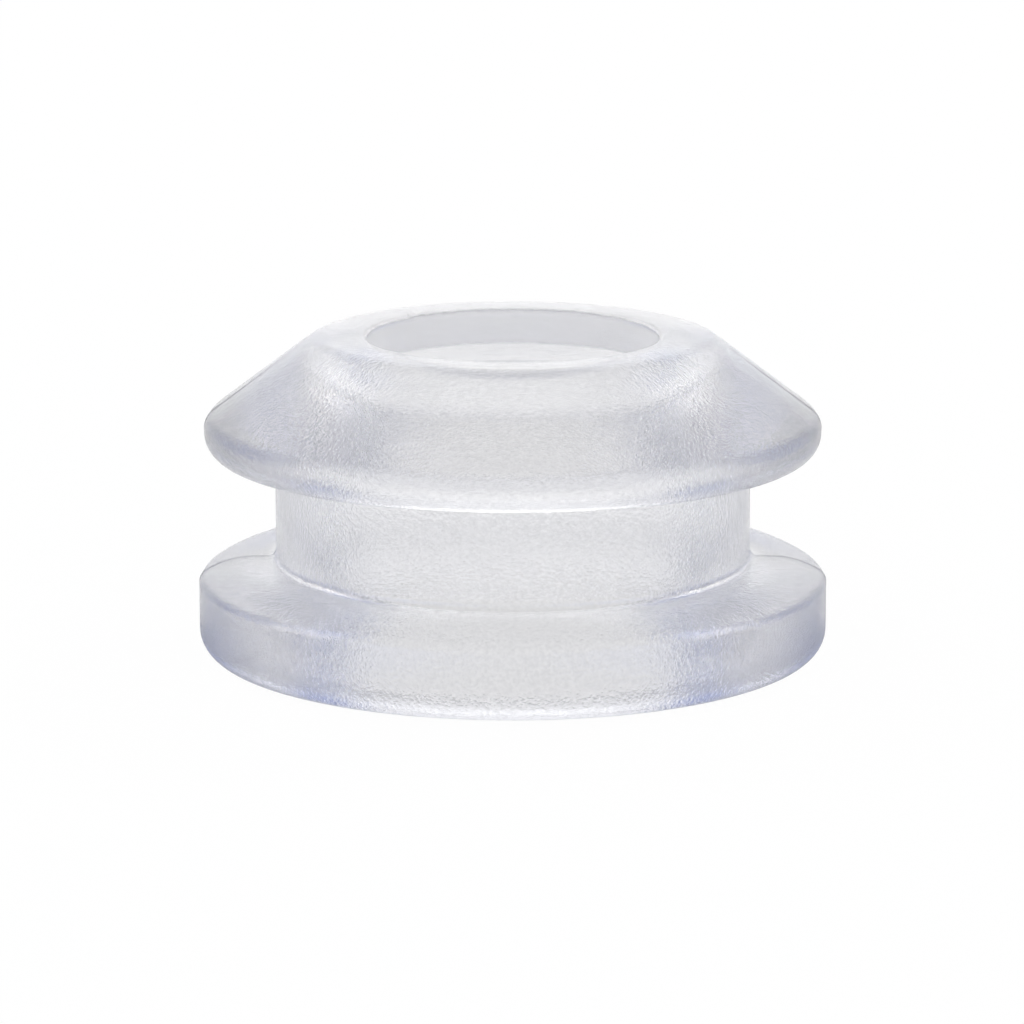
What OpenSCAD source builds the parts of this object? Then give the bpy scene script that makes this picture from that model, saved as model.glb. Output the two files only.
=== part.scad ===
// Top hat grommet: one soft hollow moulding that snaps into a round panel hole.
// Millimetres, +Z up, the flange's flat underside on Z = 0, the bore on the Z axis.
// The tapered head is pushed through the panel and the groove below it holds the panel's edge.
// The hollow lets the head fold in on its way through the hole, and the lip over it closes round the cable.

/* [Flange] */
// Outside diameter of the flange
flange_d = 16; // [15.4:0.1:22]
// Height of the flange where the panel sits on it
flange_t = 2.4; // [1.8:0.05:4]
// How far in from the outside the flange's top starts to fall away
crown_w = 1.4; // [0.8:0.05:1.6]
// How far the flange's top falls at its outside
crown_drop = 0.48; // [0.15:0.01:0.6]
// Round where the flange's top meets its side
flange_edge_r = 0.37; // [0.15:0.01:0.6]
// Round where the flange's side meets its underside
flange_base_r = 0.66; // [0.2:0.02:0.9]

/* [Neck] */
// Diameter of the neck, which fills the panel's hole
neck_d = 12.05; // [11.2:0.05:12.6]
// Width of the groove between flange and head, which takes the panel
groove_w = 2.7; // [1:0.05:6]
// Fillets at the two ends of the neck
neck_fillet = 0.22; // [0.1:0.01:0.35]

/* [Head] */
// Outside diameter of the head at its rim
head_d = 15.66; // [15:0.02:18]
// Height of the head from its underside to its top
head_h = 3.05; // [2.2:0.05:5]
// Diameter of the top, measured to the sharp corner under its round
top_d = 10.06; // [9.6:0.02:12]
// Round of the rim, from the underside to the cone
rim_r = 0.62; // [0.3:0.02:0.8]
// Round between the cone and the top
top_edge_r = 0.8; // [0.3:0.05:1]

/* [Opening] */
// Diameter of the opening in the top that the cable runs through
bore_d = 7.36; // [5:0.02:8]
// Height of the straight lip round the opening
lip_t = 0.9; // [0.6:0.05:1.2]
// Round at the opening's upper edge
bore_edge_r = 0.19; // [0.08:0.01:0.3]
// Round at the lip's lower edge
lip_edge_r = 0.15; // [0.08:0.01:0.25]

/* [Hollow] */
// Diameter of the hollow inside flange, neck and head
hollow_d = 9.2; // [8.6:0.05:9.8]
// Fillet where the hollow's side runs into its sloping roof
hollow_fillet = 0.4; // [0.1:0.02:0.6]
// Round at the hollow's open end, in the flange's underside
hollow_edge_r = 0.19; // [0.08:0.01:0.3]

/* [Hidden] */
$fn = 128;

// Outside radius of the flange
flange_r = flange_d / 2;
// Radius of the neck
neck_r = neck_d / 2;
// Radius of the head at its rim
head_r = head_d / 2;
// Radius of the top's sharp corner
top_r = top_d / 2;
// Radius of the opening
bore_r = bore_d / 2;
// Radius of the hollow
hollow_r = hollow_d / 2;

// Height of the head's underside
head_z = flange_t + groove_w;
// Overall height
total_h = head_z + head_h;

// Each arc stands this much proud of the line or arc that it runs into, so that the two cross once
hair = 0.00002;

// The crown: an arc that leaves the flat seat tangentially and falls by crown_drop over crown_w
crown_r = (crown_w * crown_w + crown_drop * crown_drop) / (2 * crown_drop);
crown_c = [flange_r - crown_w, flange_t - crown_r + hair];
// The flange's edge round, tangent to the crown from inside and to the flange's side
edge_gap = crown_r - flange_edge_r + hair;
edge_run = crown_w - flange_edge_r;
edge_n = [edge_run, sqrt(edge_gap * edge_gap - edge_run * edge_run)] / edge_gap;
edge_c = crown_c + edge_gap * edge_n;

// The rim's round, and the outward normal of the cone that leaves it towards the top's corner
rim_c = [head_r - rim_r, head_z + rim_r];
to_top = [top_r, total_h] - rim_c;
cone_angle = atan2(to_top[1], to_top[0]) - acos(rim_r / norm(to_top));
cone_n = [cos(cone_angle), sin(cone_angle)];
// The top's round, tangent to the cone and to the top
top_run = top_edge_r * tan((90 - cone_angle) / 2);
top_c = [top_r - top_run, total_h - top_edge_r];

// Height of the lip's lower edge, and of the corner where the hollow's roof, parallel to the cone, meets its side
lip_z = total_h - lip_t;
hollow_z = lip_z - (hollow_r - bore_r) / tan(cone_angle);
// The lip's lower round, tangent to the opening and to the roof
lip_c = [bore_r + lip_edge_r, lip_z + lip_edge_r * tan(cone_angle / 2)];
// The fillet's centre, in the hollow
fillet_c = [hollow_r - hollow_fillet, hollow_z - hollow_fillet * tan(cone_angle / 2)];

// Which node to draw

// Half section of the flange's outside
module flange_section() {
    polygon([
        [0, 0],
        [flange_r - flange_base_r, 0],
        [flange_r, flange_base_r],
        [flange_r, edge_c[1]],
        edge_c,
        [crown_c[0], flange_t],
        [0, flange_t]
    ]);
    translate([flange_r - flange_base_r, flange_base_r])
        circle(r = flange_base_r);
    translate(edge_c)
        circle(r = flange_edge_r);
    crown_section();
}

// The part of the flange under the crown, from just inside its start to the edge round
module crown_section() {
    intersection() {
        translate(crown_c)
            circle(r = crown_r);
        polygon([
            edge_c,
            edge_c + 2 * flange_edge_r * edge_n,
            [crown_c[0] - flange_edge_r / 2, flange_t + crown_drop],
            [crown_c[0] - flange_edge_r / 2, edge_c[1]]
        ]);
    }
}

// Half section of the neck's outside, with a fillet at each end
module neck_section() {
    difference() {
        translate([0, flange_t - neck_fillet])
            square([neck_r + neck_fillet, groove_w + 2 * neck_fillet]);
        translate([neck_r, flange_t + neck_fillet])
            square([neck_fillet * 2, groove_w - 2 * neck_fillet]);
        translate([neck_r + neck_fillet, flange_t + neck_fillet])
            circle(r = neck_fillet);
        translate([neck_r + neck_fillet, head_z - neck_fillet])
            circle(r = neck_fillet);
    }
}

// Half section of the head's outside: underside, rim, cone and top
module head_section() {
    polygon([
        [0, head_z],
        [rim_c[0], head_z],
        rim_c + (rim_r - hair) * cone_n,
        top_c + (top_edge_r - hair) * cone_n,
        [top_c[0], total_h],
        [0, total_h]
    ]);
    translate(rim_c)
        circle(r = rim_r);
    translate(top_c)
        circle(r = top_edge_r);
}

// Half section of the space inside, from the open end up through the lip, with the lip's and the ends' rounds left standing
module hollow_section() {
    difference() {
        polygon([
            [0, -hollow_edge_r],
            [hollow_r + hollow_edge_r, -hollow_edge_r],
            [hollow_r + hollow_edge_r, 0],
            [hollow_r, hollow_edge_r],
            [hollow_r, fillet_c[1]],
            fillet_c + (hollow_fillet - hair) * cone_n,
            lip_c - (lip_edge_r - hair) * cone_n,
            [bore_r, lip_c[1]],
            [bore_r, total_h - bore_edge_r],
            [bore_r + bore_edge_r, total_h],
            [bore_r + bore_edge_r, total_h + bore_edge_r],
            [0, total_h + bore_edge_r]
        ]);
        translate([hollow_r + hollow_edge_r, hollow_edge_r])
            circle(r = hollow_edge_r);
        translate(lip_c)
            circle(r = lip_edge_r);
        translate([bore_r + bore_edge_r, total_h - bore_edge_r])
            circle(r = bore_edge_r);
    }
    translate(fillet_c)
        circle(r = hollow_fillet);
}

// The whole moulding, turned about the bore's axis
module grommet() {
    color([0.86, 0.88, 0.93])
        rotate_extrude()
            difference() {
                union() {
                    flange_section();
                    neck_section();
                    head_section();
                }
                hollow_section();
            }
}

grommet();
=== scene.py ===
"""Dresses a clear silicone top hat grommet and sets it in a plain white studio.

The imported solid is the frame. One turned mesh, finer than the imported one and
with the mould's parting seam, replaces it. Lengths are in millimetres and
angles in degrees, and lengths become metres where a mesh or a node is made.
"""

import logging
import math
from dataclasses import dataclass, field
from enum import Enum
from typing import Any, Union

import bmesh
import bpy
from mathutils import Matrix, Vector


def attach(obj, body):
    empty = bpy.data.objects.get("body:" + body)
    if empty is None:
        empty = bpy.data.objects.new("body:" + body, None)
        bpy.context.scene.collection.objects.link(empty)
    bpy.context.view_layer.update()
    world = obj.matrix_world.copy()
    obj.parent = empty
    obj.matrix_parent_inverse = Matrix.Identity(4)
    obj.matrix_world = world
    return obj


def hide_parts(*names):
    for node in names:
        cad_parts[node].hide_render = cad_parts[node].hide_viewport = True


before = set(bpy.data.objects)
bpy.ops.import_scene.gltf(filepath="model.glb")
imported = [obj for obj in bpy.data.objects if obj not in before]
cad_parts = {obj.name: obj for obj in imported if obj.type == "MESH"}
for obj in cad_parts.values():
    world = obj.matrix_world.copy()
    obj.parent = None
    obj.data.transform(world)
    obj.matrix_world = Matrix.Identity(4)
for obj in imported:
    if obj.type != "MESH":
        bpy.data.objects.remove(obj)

LOG = logging.getLogger("grommet")
MM = 0.001
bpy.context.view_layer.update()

Colour = tuple[float, float, float]
Point = tuple[float, float]
Span = tuple[float, float]

WHITE: Colour = (1.0, 1.0, 1.0)
CREAM: Colour = (1.0, 0.96, 0.86)

# A quarter turn, in degrees
QUARTER = 90.0
# Points nearer than this are one point, in metres
SAME_POINT = 1e-7
# Points nearer than this to a plane lie in it, in metres
IN_PLANE = 1e-6
# Light passes this many surfaces, enough for the clear wall's inner reflections
BOUNCES = 28


def metres(span: Span) -> Span:
    """Turns both ends of a span from millimetres to metres."""
    return (span[0] * MM, span[1] * MM)


class Op(Enum):
    """Math node operations that the shader expressions use."""

    ADD = "ADD"
    SUBTRACT = "SUBTRACT"
    MULTIPLY = "MULTIPLY"
    DIVIDE = "DIVIDE"
    POWER = "POWER"
    MINIMUM = "MINIMUM"
    MAXIMUM = "MAXIMUM"
    ABSOLUTE = "ABSOLUTE"


class Value:
    """A socket of a shader tree that takes part in Python expressions."""

    def __init__(self, tree: "Tree", socket: bpy.types.NodeSocket) -> None:
        """Wraps one output socket of the tree."""
        self.tree = tree
        self.socket = socket

    def _math(self, op: Op, a: "Operand", b: "Operand" = 0.0) -> "Value":
        """Adds one Math node and returns its result."""
        return self.tree.add("ShaderNodeMath", {"operation": op.value}, {0: a, 1: b})["Value"]

    def __add__(self, other: "Operand") -> "Value":
        """Sum."""
        return self._math(Op.ADD, self, other)

    __radd__ = __add__

    def __sub__(self, other: "Operand") -> "Value":
        """Difference."""
        return self._math(Op.SUBTRACT, self, other)

    def __rsub__(self, other: "Operand") -> "Value":
        """Difference, with the wrapped socket on the right."""
        return self._math(Op.SUBTRACT, other, self)

    def __mul__(self, other: "Operand") -> "Value":
        """Product."""
        return self._math(Op.MULTIPLY, self, other)

    __rmul__ = __mul__

    def __truediv__(self, other: "Operand") -> "Value":
        """Quotient."""
        return self._math(Op.DIVIDE, self, other)

    def __pow__(self, other: "Operand") -> "Value":
        """Power."""
        return self._math(Op.POWER, self, other)

    def __abs__(self) -> "Value":
        """Absolute value."""
        return self._math(Op.ABSOLUTE, self)

    def at_most(self, other: "Operand") -> "Value":
        """The smaller of the two."""
        return self._math(Op.MINIMUM, self, other)

    def at_least(self, other: "Operand") -> "Value":
        """The larger of the two."""
        return self._math(Op.MAXIMUM, self, other)

    def ramp(self, span: Span) -> "Value":
        """Runs smoothly from 0 at the span's start to 1 at its end."""
        node = self.tree.add(
            "ShaderNodeMapRange",
            {"interpolation_type": "SMOOTHSTEP"},
            {"Value": self, "From Min": span[0], "From Max": span[1]},
        )
        return node["Result"]


Operand = Union[Value, float]
Paint = Union[Value, Colour]


class Outputs:
    """The outputs of one node, by name."""

    def __init__(self, tree: "Tree", node: bpy.types.Node) -> None:
        """Keeps the node that the outputs belong to."""
        self.tree = tree
        self.node = node

    def __getitem__(self, name: str) -> Value:
        """The output of that name as a value."""
        return Value(self.tree, self.node.outputs[name])

    def from_axis(self, least: float) -> Value:
        """Distance from the Z axis, for separated axes, with a small square that keeps it off 0."""
        return (self["X"] * self["X"] + self["Y"] * self["Y"] + least) ** 0.5


class Tree:
    """A node tree that is filled from Python."""

    def __init__(self, owner: bpy.types.ID) -> None:
        """Empties the tree of a material or world.

        Args:
            owner: the material or world whose tree is filled.
        """
        owner.use_nodes = True
        self.nodes = owner.node_tree.nodes
        self.links = owner.node_tree.links
        self.nodes.clear()

    def add(self, kind: str, settings: dict[str, Any], inputs: dict[Any, Any]) -> Outputs:
        """Adds a node.

        Args:
            kind: the node's type.
            settings: its properties, which are set first.
            inputs: a value, or a socket to link, for each input by name or place.

        Returns:
            The node's outputs.
        """
        node = self.nodes.new(kind)
        for name, value in settings.items():
            setattr(node, name, value)
        for name, value in inputs.items():
            if isinstance(value, Value):
                self.links.new(value.socket, node.inputs[name])
            else:
                node.inputs[name].default_value = value
        return Outputs(self, node)

    def axes(self, source: str) -> tuple[Value, Outputs]:
        """Reads texture coordinates.

        Args:
            source: which of them, such as Object.

        Returns:
            The coordinates whole, and their three axes.
        """
        place = self.add("ShaderNodeTexCoord", {}, {})[source]
        return place, self.add("ShaderNodeSeparateXYZ", {}, {"Vector": place})

    def blend(self, factor: Operand, first: Paint, second: Paint) -> Value:
        """Mixes two colours.

        Args:
            factor: 0 for the first colour, 1 for the second.
            first: a colour, or a value that carries one.
            second: likewise.

        Returns:
            The mixed colour.
        """
        first_place, second_place, result_place = 6, 7, 2
        inputs: dict[Any, Any] = {"Factor": factor}
        for place, end in ((first_place, first), (second_place, second)):
            inputs[place] = end if isinstance(end, Value) else (*end, 1.0)
        mixed = self.add("ShaderNodeMix", {"data_type": "RGBA"}, inputs)
        return Value(self, mixed.node.outputs[result_place])


@dataclass(frozen=True)
class ClearSilicone:
    """Clear silicone, faintly blue in its depth, with a blasted mould's fine grain outside.

    The opening and the hollow have no grain and are a little duller.
    """

    slot: str = "silicone"
    tint: Colour = WHITE
    grain_tint: Colour = (0.85, 0.85, 0.86)
    clear: float = 0.97
    refraction: float = 1.41
    roughness: float = 0.23
    inner_roughness: float = 0.25
    rough_spread: float = 0.04
    grain: float = 0.09
    grain_height: float = 0.024
    grain_detail: float = 2.0
    grain_fall: float = 0.55
    grain_middle: float = 0.5
    speckle_span: Span = (0.3, 0.7)
    skin_blend: float = 0.15
    depth_colour: Colour = (0.80, 0.81, 0.91)
    depth_density: float = 36.0

    def material(self, inside_r: float, inside_z: float) -> bpy.types.Material:
        """Builds the finish.

        Args:
            inside_r: radius within which the surface is the inner one, in millimetres.
            inside_z: height up to which that holds, in millimetres.

        Returns:
            The material, with a clear closed volume under a grained surface.
        """
        made = bpy.data.materials.new("clear_silicone")
        tree = Tree(made)
        place, axes = tree.axes("Object")
        outward = axes.from_axis(0.0).ramp(metres((inside_r, inside_r + self.skin_blend)))
        upward = axes["Z"].ramp(metres((inside_z - self.skin_blend, inside_z)))
        outer = outward.at_least(upward)
        grain = tree.add(
            "ShaderNodeTexNoise",
            {},
            {
                "Vector": place,
                "Scale": 1.0 / (self.grain * MM),
                "Detail": self.grain_detail,
                "Roughness": self.grain_fall,
            },
        )["Fac"]
        speckle = tree.blend(grain.ramp(self.speckle_span) * outer, self.tint, self.grain_tint)
        bump = tree.add(
            "ShaderNodeBump",
            {},
            {"Strength": 1.0, "Distance": self.grain_height * MM, "Height": grain * outer},
        )["Normal"]
        dull = self.inner_roughness + outer * (self.roughness - self.inner_roughness)
        shader = tree.add(
            "ShaderNodeBsdfPrincipled",
            {},
            {
                "Base Color": speckle,
                "Roughness": dull + (grain - self.grain_middle) * outer * self.rough_spread,
                "IOR": self.refraction,
                "Transmission Weight": self.clear,
                "Normal": bump,
            },
        )["BSDF"]
        depth = tree.add(
            "ShaderNodeVolumeAbsorption",
            {},
            {"Color": (*self.depth_colour, 1.0), "Density": self.depth_density},
        )["Volume"]
        tree.add("ShaderNodeOutputMaterial", {}, {"Surface": shader, "Volume": depth})
        return made


class Pen:
    """Draws a half section in the XZ plane with bmesh operators."""

    def __init__(self, mesh: bmesh.types.BMesh, start: Point) -> None:
        """Sets the pen down.

        Args:
            mesh: the bmesh that is drawn in.
            start: radius and height of the first point, in millimetres.
        """
        self.mesh = mesh
        self.first = mesh.verts.new((start[0] * MM, 0.0, start[1] * MM))
        self.tip = self.first

    def line(self, end: Point) -> None:
        """Draws a straight line to a radius and height."""
        made = bmesh.ops.extrude_vert_indiv(self.mesh, verts=[self.tip])
        self.tip = made["verts"][0]
        self.tip.co = Vector((end[0] * MM, 0.0, end[1] * MM))

    def arc(self, centre: Point, turn: float, steps: int) -> None:
        """Draws an arc from the tip.

        Args:
            centre: radius and height of the arc's centre.
            turn: angle in degrees, anticlockwise with +X right and +Z up.
            steps: number of edges.
        """
        made = bmesh.ops.spin(
            self.mesh,
            geom=[self.tip],
            cent=(centre[0] * MM, 0.0, centre[1] * MM),
            axis=(0.0, -1.0, 0.0),
            angle=math.radians(turn),
            steps=steps,
        )
        self.tip = next(v for v in made["geom_last"] if isinstance(v, bmesh.types.BMVert))

    def close(self) -> None:
        """Joins the tip to the first point."""
        self.mesh.edges.new((self.tip, self.first))


@dataclass
class Grommet:
    """The moulding: flange, neck and tapered head round a lipped opening and a hollow."""

    flange_r: float = 8.0
    flange_t: float = 2.4
    crown_w: float = 1.4
    crown_drop: float = 0.48
    flange_edge_r: float = 0.37
    flange_base_r: float = 0.66
    neck_r: float = 6.025
    groove_w: float = 2.7
    neck_fillet: float = 0.22
    head_r: float = 7.83
    head_h: float = 3.05
    top_r: float = 5.03
    rim_r: float = 0.62
    top_edge_r: float = 0.8
    bore_r: float = 3.68
    bore_edge_r: float = 0.19
    lip_t: float = 0.9
    lip_edge_r: float = 0.15
    hollow_r: float = 4.6
    hollow_fillet: float = 0.4
    hollow_edge_r: float = 0.19
    sectors: int = 320
    small_steps: int = 6
    round_steps: int = 8
    base_steps: int = 12
    rim_steps: int = 18
    seam_w: float = 0.05
    seam_h: float = 0.018
    skin_margin: float = 0.05
    finish: ClearSilicone = field(default_factory=ClearSilicone)

    @property
    def head_z(self) -> float:
        """Height of the head's underside."""
        return self.flange_t + self.groove_w

    @property
    def top_z(self) -> float:
        """Overall height."""
        return self.head_z + self.head_h

    def half_section(self, mesh: bmesh.types.BMesh) -> None:
        """Draws the closed half section, anticlockwise from the hollow's lower edge.

        Args:
            mesh: the bmesh that is drawn in.
        """
        head_z, top_z = self.head_z, self.top_z
        bore_out = self.bore_r + self.bore_edge_r
        hollow_out = self.hollow_r + self.hollow_edge_r
        base_in = self.flange_r - self.flange_base_r
        neck_out = self.neck_r + self.neck_fillet

        crown_r = (self.crown_w**2 + self.crown_drop**2) / (2.0 * self.crown_drop)
        crown_c = (self.flange_r - self.crown_w, self.flange_t - crown_r)
        run = self.crown_w - self.flange_edge_r
        rise = math.sqrt((crown_r - self.flange_edge_r) ** 2 - run**2)
        edge_c = (crown_c[0] + run, crown_c[1] + rise)
        edge_turn = math.degrees(math.atan2(rise, run))

        rim_c = (self.head_r - self.rim_r, head_z + self.rim_r)
        to_top = Vector((self.top_r - rim_c[0], top_z - rim_c[1]))
        cone = math.atan2(to_top.y, to_top.x) - math.acos(self.rim_r / to_top.length)
        cone_turn = math.degrees(cone)
        top_run = self.top_edge_r * math.tan(math.radians(QUARTER - cone_turn) / 2.0)
        top_c = (self.top_r - top_run, top_z - self.top_edge_r)
        cone_end = (
            top_c[0] + self.top_edge_r * math.cos(cone),
            top_c[1] + self.top_edge_r * math.sin(cone),
        )

        half_cone = math.tan(cone / 2.0)
        lip_z = top_z - self.lip_t
        roof_z = lip_z - (self.hollow_r - self.bore_r) / math.tan(cone)
        lip_c = (self.bore_r + self.lip_edge_r, lip_z + self.lip_edge_r * half_cone)
        fillet_c = (self.hollow_r - self.hollow_fillet, roof_z - self.hollow_fillet * half_cone)
        roof_end = (
            fillet_c[0] + self.hollow_fillet * math.cos(cone),
            fillet_c[1] + self.hollow_fillet * math.sin(cone),
        )

        pen = Pen(mesh, (self.hollow_r, self.hollow_edge_r))
        pen.arc((hollow_out, self.hollow_edge_r), QUARTER, self.small_steps)
        pen.line((base_in, 0.0))
        pen.arc((base_in, self.flange_base_r), QUARTER, self.base_steps)
        pen.line((self.flange_r, edge_c[1]))
        pen.arc(edge_c, edge_turn, self.round_steps)
        pen.arc(crown_c, QUARTER - edge_turn, self.round_steps)
        pen.line((neck_out, self.flange_t))
        pen.arc((neck_out, self.flange_t + self.neck_fillet), -QUARTER, self.small_steps)
        pen.line((self.neck_r, head_z - self.neck_fillet))
        pen.arc((neck_out, head_z - self.neck_fillet), -QUARTER, self.small_steps)
        pen.line((rim_c[0], head_z))
        pen.arc(rim_c, QUARTER + cone_turn, self.rim_steps)
        pen.line(cone_end)
        pen.arc(top_c, QUARTER - cone_turn, self.round_steps)
        pen.line((bore_out, top_z))
        pen.arc((bore_out, top_z - self.bore_edge_r), QUARTER, self.small_steps)
        pen.line((self.bore_r, lip_c[1]))
        pen.arc(lip_c, cone_turn, self.small_steps)
        pen.line(roof_end)
        pen.arc(fillet_c, -cone_turn, self.round_steps)
        pen.close()

    def turned(self) -> bmesh.types.BMesh:
        """Turns the half section about the bore's axis.

        Returns:
            The closed moulding, in metres.
        """
        mesh = bmesh.new()
        self.half_section(mesh)
        bmesh.ops.spin(
            mesh,
            geom=mesh.verts[:] + mesh.edges[:],
            cent=(0.0, 0.0, 0.0),
            axis=(0.0, 0.0, 1.0),
            angle=2.0 * math.pi,
            steps=self.sectors,
            use_merge=True,
        )
        bmesh.ops.remove_doubles(mesh, verts=mesh.verts, dist=SAME_POINT)
        bmesh.ops.recalc_face_normals(mesh, faces=mesh.faces)
        return mesh

    def on_seam(self, vert: bmesh.types.BMVert) -> bool:
        """Tells whether a point of the turned moulding lies on the parting seam.

        Args:
            vert: the point.

        Returns:
            True on the outside in the XZ plane, from the flange's lower round to the top's.
        """
        outside = (self.hollow_r + self.hollow_edge_r) * MM
        low = self.flange_base_r * MM / 2.0
        high = (self.top_z - self.top_edge_r / 2.0) * MM
        across = abs(vert.co.y) < IN_PLANE and abs(vert.co.x) > outside
        return across and low < vert.co.z < high

    def raise_seam(self, mesh: bmesh.types.BMesh) -> None:
        """Raises the mould's parting seam along the outside, in the XZ plane.

        Args:
            mesh: the turned moulding.
        """
        made = bmesh.ops.bevel(
            mesh,
            geom=[edge for edge in mesh.edges if all(self.on_seam(v) for v in edge.verts)],
            offset=self.seam_w * MM,
            offset_type="OFFSET",
            affect="EDGES",
            segments=2,
            profile=0.5,
            material=-1,
        )
        crest = [v for v in made["verts"] if abs(v.co.y) < IN_PLANE]
        mesh.normal_update()
        for v in crest:
            v.co += v.normal * self.seam_h * MM

    def build(self) -> bpy.types.Object:
        """Makes the moulding's object and dresses it.

        Returns:
            The object, at the origin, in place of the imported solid.
        """
        mesh = self.turned()
        self.raise_seam(mesh)
        for face in mesh.faces:
            face.smooth = True
        data = bpy.data.meshes.new("moulded_grommet")
        mesh.to_mesh(data)
        mesh.free()
        piece = bpy.data.objects.new("moulded_grommet", data)
        bpy.context.scene.collection.objects.link(piece)
        weigh = piece.modifiers.new("flat_walls", "WEIGHTED_NORMAL")
        weigh.mode = "FACE_AREA"
        weigh.weight = 100
        inside_r = self.hollow_r + self.skin_margin
        inside_z = self.top_z - self.skin_margin
        data.materials.append(self.finish.material(inside_r, inside_z))
        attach(piece, "root")
        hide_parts("grommet")
        return piece


@dataclass(frozen=True)
class Softbox:
    """A soft rectangular lamp that looks at the object, at an azimuth from the back."""

    name: str
    azimuth: float
    elevation: float = 38.0
    width: float = 120.0
    height: float = 90.0
    brightness: float = 3.2
    distance: float = 300.0
    colour: Colour = CREAM

    def hang(self, aim_z: float) -> bpy.types.Object:
        """Hangs the lamp.

        Args:
            aim_z: height of the point that the lamp looks at, in millimetres.

        Returns:
            The lamp's object, which the camera itself doesn't see.
        """
        data = bpy.data.lights.new(self.name, "AREA")
        data.shape = "RECTANGLE"
        data.size = self.width * MM
        data.size_y = self.height * MM
        data.color = self.colour
        data.energy = self.brightness * math.pi * data.size * data.size_y
        lamp = bpy.data.objects.new(self.name, data)
        bpy.context.scene.collection.objects.link(lamp)
        turn = Matrix.Rotation(math.radians(-self.azimuth), 4, "Z")
        lift = Matrix.Rotation(math.radians(self.elevation), 4, "X")
        tilt = Matrix.Rotation(math.radians(QUARTER + self.elevation), 4, "X")
        flip = Matrix.Rotation(math.pi, 4, "X")
        away = turn @ lift @ Vector((0.0, self.distance * MM, 0.0))
        spot = Matrix.Translation(away + Vector((0.0, 0.0, aim_z * MM)))
        lamp.matrix_world = spot @ turn @ tilt @ flip
        lamp.visible_camera = False
        return lamp


@dataclass(frozen=True)
class PaleFloor:
    """A plain pale floor a hair under the object, so that its base still reflects inside.

    The camera sees it white, with the object's shadow. Clear and glossy surfaces
    see it white too, with shade painted into their glow: darker under and round the
    object's foot, blue-grey in a ring round it and beside it, a little darker in a strip behind it.
    """

    size: float = 3000.0
    gap: float = 0.02
    colour: Colour = (0.92, 0.92, 0.93)
    camera_glow: float = 0.97
    glass_glow: float = 1.0
    # Painted shade: colours and levels of the shade painted into the glow that clear and glossy
    # surfaces see round the object's foot.
    painted_shade_colour: Colour = (0.3, 0.3, 0.31)
    painted_side_shade_colour: Colour = (0.28, 0.31, 0.46)
    inside_shade_level: float = 0.64
    under_shade_level: float = 0.72
    ring_shade_level: float = 0.34
    strip_shade_depth: float = 0.2
    beside_shade_depth: float = 0.45
    beside_shift: float = 0.1
    under_span: Span = (2.8, 6.2)
    ring_span: Span = (7.0, 7.8)
    open_span: Span = (8.6, 10.4)
    strip_turn: Span = (0.85, 0.97)
    strip_span: Span = (14.0, 22.0)
    beside_turn: Span = (0.2, 0.45)
    beside_span: Span = (13.0, 17.0)
    least: float = 1e-9

    def shown(self, tree: Tree, camera: Value) -> Value:
        """Works out the floor's colour as the camera and clear surfaces see it, with painted shade.

        Args:
            tree: the floor's node tree.
            camera: 1 for rays from the camera, which see none of the painted shade.

        Returns:
            The colour.
        """
        axes = tree.axes("Object")[1]
        reach = axes.from_axis(self.least)
        ahead = axes["Y"] / reach
        # Painted shade: a darker strip behind the object and a darker, blue shade beside it.
        strip = ahead.ramp(self.strip_turn) * (1.0 - reach.ramp(metres(self.strip_span)))
        sideways = 1.0 - abs(ahead + self.beside_shift).ramp(self.beside_turn)
        beside = sideways * (1.0 - reach.ramp(metres(self.beside_span)))
        # Painted shade: darker under the hollow, less so under the flange, darkest in a ring round
        # the foot, then white further out.
        outward = reach.ramp(metres(self.under_span))
        under = self.inside_shade_level + outward * (self.under_shade_level - self.inside_shade_level)
        edge = reach.ramp(metres(self.ring_span))
        open_floor = reach.ramp(metres(self.open_span))
        ring = under + edge * (self.ring_shade_level - under)
        bright = 1.0 - self.strip_shade_depth * strip - self.beside_shade_depth * beside
        shade_free = ring + open_floor * (bright - ring)
        # The painted shade turns blue in the ring round the foot and beside the object.
        blue_shade_mask = beside.at_least(edge - open_floor)
        shade = tree.blend(blue_shade_mask, self.painted_shade_colour, self.painted_side_shade_colour)
        return tree.blend(camera.at_least(shade_free), shade, WHITE)

    def material(self) -> bpy.types.Material:
        """Builds the floor's finish.

        Returns:
            The material: pale paper under the lamps, a glow to the camera and clear surfaces, with
                painted shade in the glow that clear surfaces see.
        """
        made = bpy.data.materials.new("pale_floor")
        tree = Tree(made)
        path = tree.add("ShaderNodeLightPath", {}, {})
        camera = path["Is Camera Ray"]
        through = (path["Is Glossy Ray"] + path["Is Transmission Ray"]).at_most(1.0)
        seen = camera * self.camera_glow + through * self.glass_glow
        shown = self.shown(tree, camera)
        paper = tree.add("ShaderNodeBsdfDiffuse", {}, {"Color": (*self.colour, 1.0)})["BSDF"]
        glow = tree.add("ShaderNodeEmission", {}, {"Color": shown, "Strength": 1.0})["Emission"]
        both = tree.add("ShaderNodeMixShader", {}, {0: seen, 1: paper, 2: glow})["Shader"]
        tree.add("ShaderNodeOutputMaterial", {}, {"Surface": both})
        return made

    def lay(self) -> bpy.types.Object:
        """Lays the floor.

        Returns:
            The floor.
        """
        mesh = bmesh.new()
        bmesh.ops.create_grid(
            mesh,
            x_segments=1,
            y_segments=1,
            size=self.size * MM / 2.0,
            matrix=Matrix.Translation((0.0, 0.0, -self.gap * MM)),
        )
        data = bpy.data.meshes.new("floor")
        mesh.to_mesh(data)
        mesh.free()
        data.materials.append(self.material())
        floor = bpy.data.objects.new("floor", data)
        bpy.context.scene.collection.objects.link(floor)
        return floor


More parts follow.
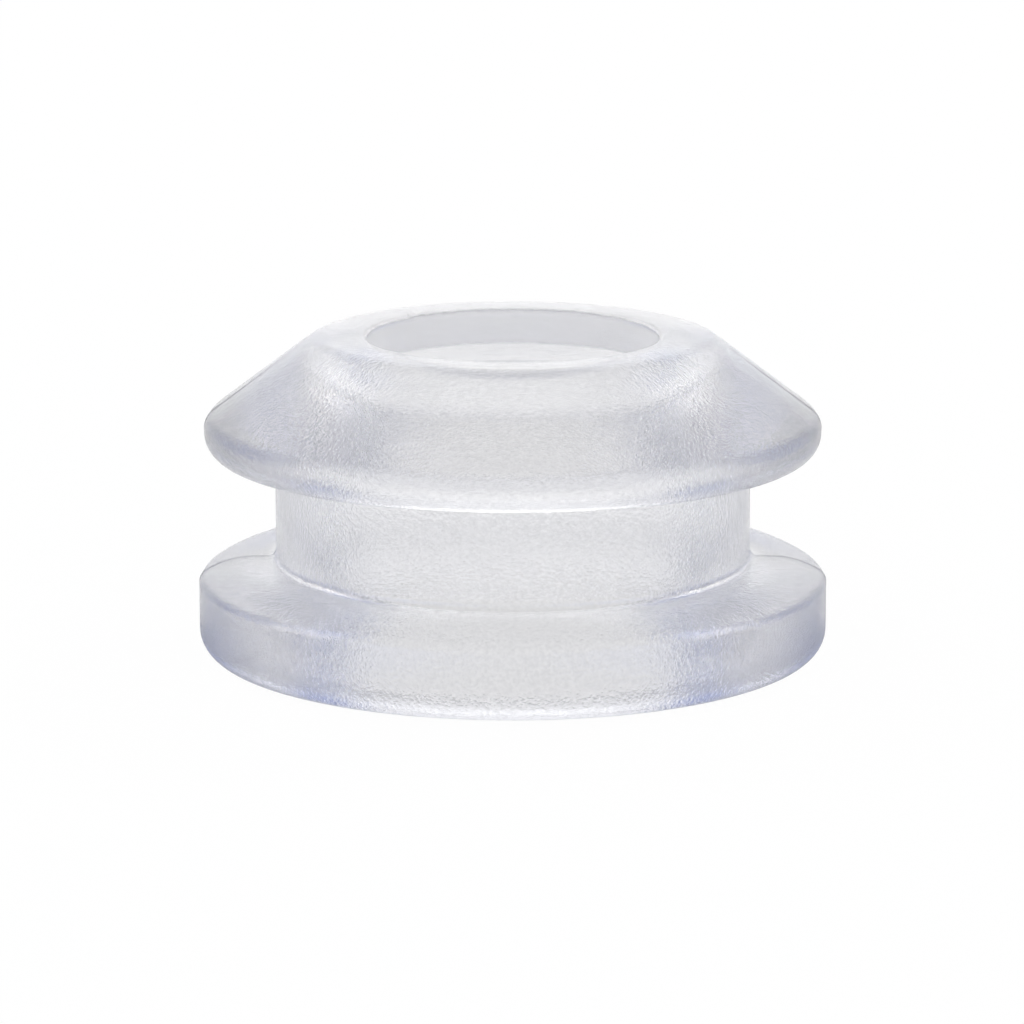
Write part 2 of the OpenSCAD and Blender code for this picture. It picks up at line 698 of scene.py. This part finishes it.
@dataclass(frozen=True)
class Surround:
    """The world: white to the camera, and to the object walls of set levels under a dim roof.

    A direction is read as its Y over its level length, 1 at the back and -1 at
    the front, and as its Z, 0 at the horizon and 1 overhead.
    """

    horizon_level: float = 1.8
    side_level: float = 0.7
    back_level: float = 0.85
    front_level: float = 2.2
    high_side_level: float = 0.8
    high_back_level: float = 1.8
    high_front_level: float = 1.5
    roof_level: float = 0.35
    roof_front_level: float = 1.0
    front_dip: float = 0.5
    dim_tint: Colour = (0.14, 0.3, 1.0)
    front_turn: Span = (-0.3, 0.7)
    back_turn: Span = (0.6, 0.8)
    high_back_turn: Span = (0.6, 0.85)
    horizon_turn: Span = (0.9, 0.98)
    horizon_rise: Span = (0.07, 0.2)
    high_rise: Span = (0.4, 0.56)
    high_back_rise: Span = (0.24, 0.37)
    roof_rise: Span = (0.69, 0.83)
    roof_back_rise: Span = (0.46, 0.6)
    dip_start: Span = (0.27, 0.34)
    dip_end: Span = (0.44, 0.52)
    cold_levels: Span = (0.7, 0.9)
    cold_rise: Span = (0.5, 0.7)
    least: float = 1e-6

    def hang(self) -> bpy.types.World:
        """Makes the world and gives it to the scene.

        Returns:
            The world.
        """
        world = bpy.data.worlds.new("studio")
        bpy.context.scene.world = world
        tree = Tree(world)
        camera = tree.add("ShaderNodeLightPath", {}, {})["Is Camera Ray"]
        axes = tree.axes("Generated")[1]
        up = axes["Z"]
        ahead = axes["Y"] / axes.from_axis(self.least)
        front = (-1.0 * ahead).ramp(self.front_turn)
        behind = ahead.ramp(self.high_back_turn)

        low = self.side_level + (self.front_level - self.side_level) * front
        low = low + (self.back_level - self.side_level) * ahead.ramp(self.back_turn)
        horizon = (1.0 - up.ramp(self.horizon_rise)) * ahead.ramp(self.horizon_turn)
        low = low + horizon * (self.horizon_level - low)
        high = self.high_side_level + (self.high_front_level - self.high_side_level) * front
        high = high + (self.high_back_level - self.high_side_level) * behind
        roof = self.roof_level + (self.roof_front_level - self.roof_level) * front

        rise = up.ramp(self.high_rise)
        rise = rise + behind * (up.ramp(self.high_back_rise) - rise)
        walls = low + rise * (high - low)
        cap = up.ramp(self.roof_rise)
        cap = cap + behind * (up.ramp(self.roof_back_rise) - cap)
        level = walls + cap * (roof - walls)
        dip = up.ramp(self.dip_start) * (1.0 - up.ramp(self.dip_end))
        level = level * (1.0 - self.front_dip * front * dip)

        cold = (1.0 - walls.ramp(self.cold_levels)) * (1.0 - up.ramp(self.cold_rise))
        light = tree.add(
            "ShaderNodeBackground",
            {},
            {
                "Color": tree.blend(cold * (1.0 - camera), WHITE, self.dim_tint),
                "Strength": level + camera * (1.0 - level),
            },
        )["Background"]
        tree.add("ShaderNodeOutputWorld", {}, {"Surface": light})
        return world


@dataclass(frozen=True)
class PhotoCamera:
    """The camera at the photograph's viewing angle, aimed at a point on the bore's axis."""

    distance: float = 128.0
    elevation: float = 12.13
    aim_z: float = 4.0
    focal_px: float = 5023.0
    centre_px: Point = (512.8, 494.5)
    frame_px: float = 1024.0
    sensor: float = 36.0
    nearest: float = 5.0

    def set_up(self) -> bpy.types.Object:
        """Sets the camera where the photograph was taken from.

        Returns:
            The scene's camera.
        """
        data = bpy.data.cameras.new("camera")
        data.sensor_width = self.sensor
        data.lens = self.focal_px / self.frame_px * self.sensor
        data.clip_start = self.nearest * MM
        camera = bpy.data.objects.new("camera", data)
        bpy.context.scene.collection.objects.link(camera)
        tilt = math.radians(self.elevation)
        spot = Vector((0.0, -math.cos(tilt), math.sin(tilt))) * self.distance
        spot.z += self.aim_z
        half = self.frame_px / 2.0
        down = math.atan((half - self.centre_px[1]) / self.focal_px)
        aside = math.atan((self.centre_px[0] - half) / self.focal_px)
        level = Matrix.Rotation(math.pi / 2.0 - tilt - down, 4, "X")
        turn = Matrix.Rotation(aside, 4, "Z") @ level
        camera.matrix_world = Matrix.Translation(spot * MM) @ turn
        bpy.context.scene.camera = camera
        return camera


@dataclass(frozen=True)
class Studio:
    """Camera, floor, surround and two lamps behind the object."""

    camera: PhotoCamera = PhotoCamera()
    floor: PaleFloor = PaleFloor()
    surround: Surround = Surround()
    lamps: tuple[Softbox, ...] = (Softbox("left_lamp", -50.0), Softbox("right_lamp", 50.0))

    def build(self) -> None:
        """Sets up everything round the object."""
        LOG.info("camera %s", self.camera.set_up().name)
        LOG.info("floor %s", self.floor.lay().name)
        LOG.info("surround %s", self.surround.hang().name)
        for lamp in self.lamps:
            LOG.info("lamp %s", lamp.hang(self.camera.aim_z).name)


def main() -> None:
    """Builds the grommet and its studio."""
    logging.basicConfig(level=logging.INFO, format="%(name)s: %(message)s")
    scene = bpy.context.scene
    scene.view_settings.view_transform = "Standard"
    scene.cycles.max_bounces = BOUNCES
    scene.cycles.transmission_bounces = BOUNCES
    Studio().build()
    piece = Grommet().build()
    LOG.info("piece %s with %d faces", piece.name, len(piece.data.polygons))


if __name__ == "__main__":
    main()
